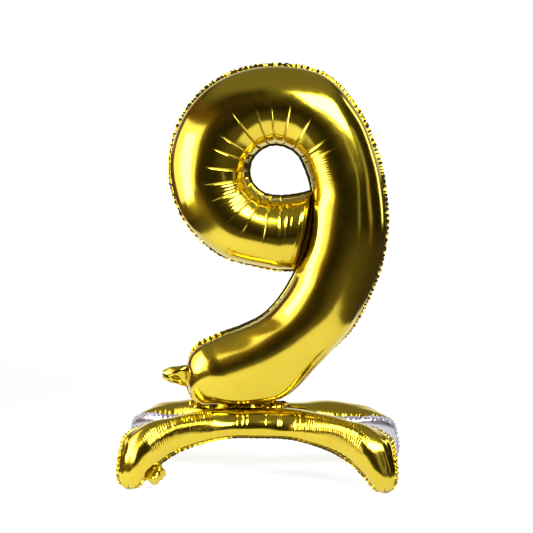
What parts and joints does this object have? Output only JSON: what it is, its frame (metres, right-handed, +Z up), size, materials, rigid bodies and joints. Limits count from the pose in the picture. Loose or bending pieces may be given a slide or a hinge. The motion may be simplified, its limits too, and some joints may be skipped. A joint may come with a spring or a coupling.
{
  "type": "foil number balloon",
  "caption": "Self-standing metallic foil balloon shaped as the figure nine, on an inflated arched base with splayed feet and a folded silver gusset.",
  "frame": {"origin": "middle of the footprint, on the floor", "axes": "+Z up, +X to the right of a viewer who reads the figure, +Y away from that viewer"},
  "size_m": [0.4948, 0.2488, 0.7401],
  "materials": {
    "gold_film": "mirror-bright metallised gold film, pleated and crimped near its sealed rims",
    "silver_film": "bright metallised silver film",
    "clear_valve_film": "thin translucent polyethylene"
  },
  "bodies": {
    "crown": {"waist_front_band": "gold_film", "waist_rear_band": "gold_film", "gusset_crown_strip": "silver_film"},
    "number": {"number_front_film": "gold_film", "number_rear_film": "gold_film", "number_valve_front_ply": "clear_valve_film", "number_valve_rear_ply": "clear_valve_film"},
    "number_tail": {"number_tail_front_ply": "gold_film", "number_tail_rear_ply": "gold_film"},
    "front_leg": {"base_front_film": "gold_film", "gusset_front_leaf": "silver_film", "base_valve_outer_ply": "clear_valve_film", "base_valve_inner_ply": "clear_valve_film"},
    "rear_leg": {"base_rear_film": "gold_film", "gusset_rear_leaf": "silver_film"},
    "base_tail": {"base_tail_outer_ply": "gold_film", "base_tail_inner_ply": "silver_film"}
  },
  "joints": [
    {"name": "number_lean", "type": "hinge", "parent": "crown", "child": "number", "pos_m": [-0.039, 0, 0.131], "axis": [1, 0, 0], "range_deg": [-5, 5], "stiffness_Nm_per_rad": 0.9},
    {"name": "front_leg_splay", "type": "hinge", "parent": "crown", "child": "front_leg", "pos_m": [0, -0.0035, 0.12], "axis": [1, 0, 0], "range_deg": [-6, 6], "stiffness_Nm_per_rad": 1.5},
    {"name": "rear_leg_splay", "type": "hinge", "parent": "crown", "child": "rear_leg", "pos_m": [0, 0.0035, 0.12], "axis": [-1, 0, 0], "range_deg": [-6, 6], "stiffness_Nm_per_rad": 1.5},
    {"name": "number_tail_flex", "type": "hinge", "parent": "number", "child": "number_tail", "pos_m": [-0.1313, 0, 0.181], "axis": [0.0322, 0, 0.9995], "range_deg": [-30, 30], "stiffness_Nm_per_rad": 0.003},
    {"name": "base_tail_flex", "type": "hinge", "parent": "front_leg", "child": "base_tail", "pos_m": [-0.17633, -0.097, 0.03079], "axis": [-0.7112, -0.2991, -0.6362], "range_deg": [-30, 30], "stiffness_Nm_per_rad": 0.003}
  ]
}
